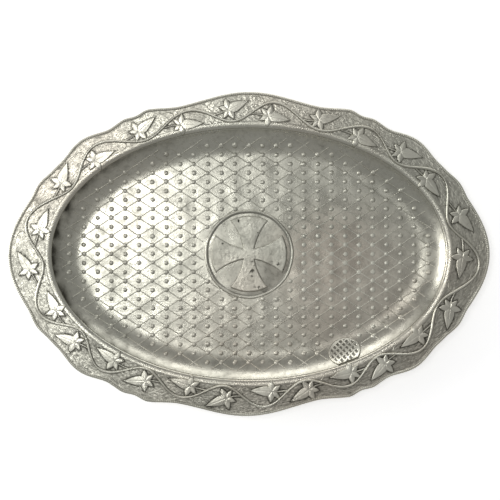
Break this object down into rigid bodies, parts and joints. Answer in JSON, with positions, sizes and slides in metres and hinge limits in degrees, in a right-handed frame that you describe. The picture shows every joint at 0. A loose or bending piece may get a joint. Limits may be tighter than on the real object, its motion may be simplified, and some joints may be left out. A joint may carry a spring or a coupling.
{
  "type": "paten plate",
  "caption": "Oval pewter paten plate with a shallow studded well, a cross pattee in a ring, and a scalloped border with a vine of ivy leaves and a milled edge.",
  "frame": {"origin": "on the table, under the middle of the well", "axes": "+X along the length of the plate, +Y across it, +Z up out of the well; seen with +X to the right and +Y up, the little plaque is at the lower right"},
  "size_m": [0.241, 0.1624, 0.0116],
  "materials": {
    "well": null,
    "rim": "stippled antique pewter",
    "edge_wire": "milled antique pewter",
    "vine": "rubbed pewter",
    "leaf": "rubbed pewter",
    "cross": "satin pewter with casting pits",
    "plaque": "latticed pewter, dark in its pits"
  },
  "bodies": {
    "root": {"well": "well", "rim": "rim", "edge_wire": "edge_wire", "vine_stem": "vine", "outer_leaf_01": "leaf", "inner_leaf_01": "leaf", "outer_leaf_02": "leaf", "inner_leaf_02": "leaf", "outer_leaf_03": "leaf", "inner_leaf_03": "leaf", "outer_leaf_04": "leaf", "inner_leaf_04": "leaf", "outer_leaf_05": "leaf", "inner_leaf_05": "leaf", "outer_leaf_06": "leaf", "inner_leaf_06": "leaf", "outer_leaf_07": "leaf", "inner_leaf_07": "leaf", "outer_leaf_08": "leaf", "inner_leaf_08": "leaf", "outer_leaf_09": "leaf", "inner_leaf_09": "leaf", "outer_leaf_10": "leaf", "inner_leaf_10": "leaf", "outer_leaf_11": "leaf", "inner_leaf_11": "leaf", "outer_leaf_12": "leaf", "inner_leaf_12": "leaf", "outer_leaf_13": "leaf", "inner_leaf_13": "leaf", "cross": "cross", "cross_ring": "cross", "mark_plaque": "plaque"}
  },
  "joints": []
}
